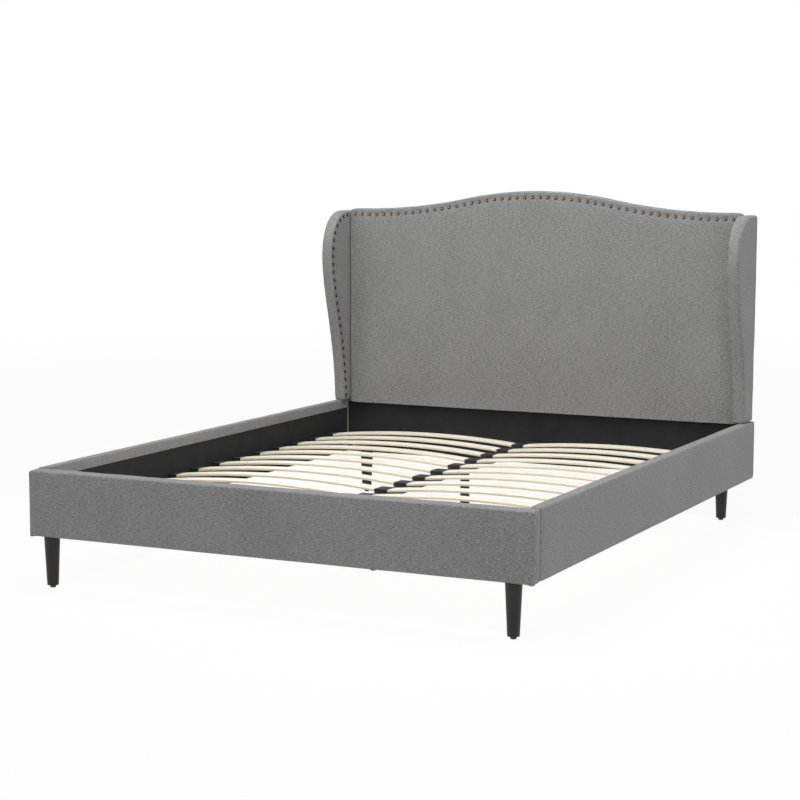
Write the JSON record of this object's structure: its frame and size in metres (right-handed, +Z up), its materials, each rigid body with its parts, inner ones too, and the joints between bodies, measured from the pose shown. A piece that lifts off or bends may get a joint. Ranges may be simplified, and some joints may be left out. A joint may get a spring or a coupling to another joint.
{
  "type": "upholstered bed",
  "caption": "Double bed frame with grey fabric rails, a camel-back winged headboard trimmed with brass nails, tapered legs and a bowed slat base.",
  "frame": {"origin": "on the floor, under the middle of the bed's outside length and width", "axes": "+Z is up, +Y points to the headboard, so the foot end faces -Y; +X is the right side seen from the foot"},
  "size_m": [1.71, 2.13, 1.211],
  "materials": {
    "grey_fabric": "woven linen look, matte",
    "black_lining": "thin non-woven lining, matte",
    "dust_cloth": "thin non-woven cloth, matte",
    "plywood": "raw",
    "pine": "raw",
    "birch": "satin",
    "dark_wood": "satin",
    "antique_brass": "antiqued",
    "black_plastic": "satin",
    "glide_plastic": "matte",
    "black_steel": "powder coat",
    "zinc_steel": "zinc plated"
  },
  "bodies": {
    "root": {"footboard_board": "plywood", "footboard_battens": "pine", "footboard_cover": "grey_fabric", "footboard_lining": "black_lining", "left_rail_board": "plywood", "left_rail_cover": "grey_fabric", "left_rail_lining": "black_lining", "right_rail_board": "plywood", "right_rail_cover": "grey_fabric", "right_rail_lining": "black_lining", "headboard_board": "plywood", "headboard_battens": "pine", "headboard_cushion": "grey_fabric", "headboard_lining": "black_lining", "headboard_back_cloth": "dust_cloth", "headboard_nails": "antique_brass", "left_wing_board": "plywood", "left_wing_cover": "grey_fabric", "left_wing_nails": "antique_brass", "right_wing_board": "plywood", "right_wing_cover": "grey_fabric", "right_wing_nails": "antique_brass", "wing_bolts": "zinc_steel", "front_left_leg": "dark_wood", "front_right_leg": "dark_wood", "rear_left_leg": "dark_wood", "rear_right_leg": "dark_wood", "front_centre_leg": "black_plastic", "rear_centre_leg": "black_plastic", "leg_glides": "glide_plastic", "leg_bolts": "zinc_steel", "left_slat_ledger": "black_steel", "right_slat_ledger": "black_steel", "ledger_screws": "zinc_steel", "centre_rail": "black_steel", "centre_rail_hangers": "black_steel", "hanger_screws": "zinc_steel", "outer_slat_holders": "black_plastic", "centre_slat_holders": "black_plastic", "corner_brackets": "black_steel", "corner_bolts": "zinc_steel", "slat_pair_01": "birch", "slat_pair_02": "birch", "slat_pair_03": "birch", "slat_pair_04": "birch", "slat_pair_05": "birch", "slat_pair_06": "birch", "slat_pair_07": "birch", "slat_pair_08": "birch", "slat_pair_09": "birch", "slat_pair_10": "birch", "slat_pair_11": "birch", "slat_pair_12": "birch", "slat_pair_13": "birch"}
  },
  "joints": []
}
